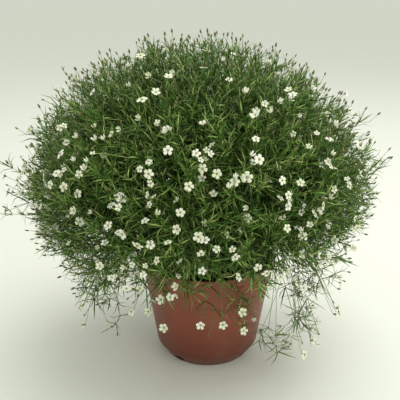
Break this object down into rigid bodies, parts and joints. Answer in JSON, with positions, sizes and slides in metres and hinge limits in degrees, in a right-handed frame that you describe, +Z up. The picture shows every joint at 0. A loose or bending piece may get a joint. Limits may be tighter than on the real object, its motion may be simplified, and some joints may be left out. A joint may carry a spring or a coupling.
{
  "type": "potted babys breath",
  "caption": "Cushion of white five-petalled flowers and grass-like leaves on thread-like stems, in a small round tapered pot.",
  "frame": {"origin": "centre of the pot's flat base, on the surface it stands on", "axes": "+Z up along the pot's axis, -Y towards the picture's camera, +X to the picture's right"},
  "size_m": [0.3383, 0.3091, 0.3031],
  "materials": {
    "terracotta_plastic": "satin, reddish brown",
    "potting_soil": "matt, crumbly, nearly black-brown",
    "petals": "matt, warm white",
    "foliage": "matt, mid green"
  },
  "bodies": {
    "root": {"pot": "terracotta_plastic", "soil": "potting_soil", "flower_spray_01": "petals", "flower_spray_02": "petals", "flower_spray_03": "petals", "flower_spray_04": "petals", "flower_spray_05": "petals", "flower_spray_06": "petals", "flower_spray_07": "petals", "flower_spray_08": "petals", "flower_spray_09": "petals", "flower_spray_10": "petals", "flower_spray_11": "petals", "flower_spray_12": "petals", "flower_spray_13": "petals", "flower_spray_14": "petals", "flower_spray_15": "petals", "flower_spray_16": "petals", "flower_spray_17": "petals", "flower_spray_18": "petals", "flower_spray_19": "petals", "flower_spray_20": "petals", "flower_spray_21": "petals", "flower_spray_22": "petals", "flower_spray_23": "petals", "flower_spray_24": "petals", "flower_spray_25": "petals", "flower_spray_26": "petals", "flower_spray_27": "petals", "flower_spray_28": "petals", "leafy_spray_01": "foliage", "leafy_spray_02": "foliage", "leafy_spray_03": "foliage", "leafy_spray_04": "foliage", "leafy_spray_05": "foliage", "leafy_spray_06": "foliage", "leafy_spray_07": "foliage", "leafy_spray_08": "foliage", "leafy_spray_09": "foliage", "leafy_spray_10": "foliage", "leafy_spray_11": "foliage", "leafy_spray_12": "foliage", "leafy_spray_13": "foliage", "leafy_spray_14": "foliage", "leafy_spray_15": "foliage", "leafy_spray_16": "foliage", "leafy_spray_17": "foliage", "leafy_spray_18": "foliage", "leafy_spray_19": "foliage", "leafy_spray_20": "foliage", "leafy_spray_21": "foliage", "leafy_spray_22": "foliage", "leafy_spray_23": "foliage", "leafy_spray_24": "foliage", "leafy_spray_25": "foliage", "leafy_spray_26": "foliage", "leafy_spray_27": "foliage", "leafy_spray_28": "foliage"}
  },
  "joints": []
}
